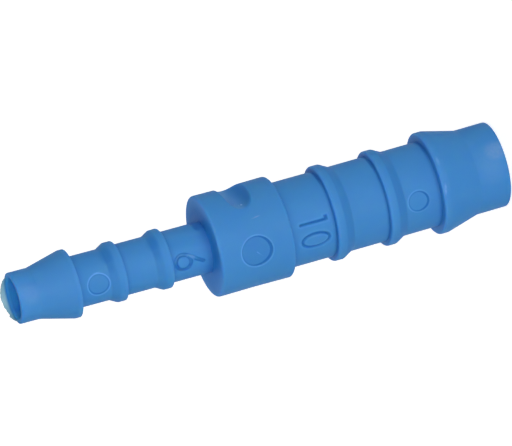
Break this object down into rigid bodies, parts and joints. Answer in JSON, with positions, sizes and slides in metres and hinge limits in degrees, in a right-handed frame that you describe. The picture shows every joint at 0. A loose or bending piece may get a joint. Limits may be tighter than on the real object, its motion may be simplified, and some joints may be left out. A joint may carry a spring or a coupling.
{
  "type": "hose adapter",
  "caption": "Straight moulded plastic hose adapter that joins a thin hose to a thicker one, with barbed hose tails either side of a plain round collar and a bore right through.",
  "frame": {"origin": "centre of the large hose tail's end face, on the adapter's axis", "axes": "+Z along the axis from the large tail to the small one, -Y towards the side with the ejector pin marks and size numbers, +X towards the notch in the collar"},
  "size_m": [0.012, 0.012, 0.0597],
  "materials": {
    "moulded_plastic": "satin mid-blue acetal, as it left the mould"
  },
  "bodies": {
    "root": {"hose_adapter": "moulded_plastic"}
  },
  "joints": []
}
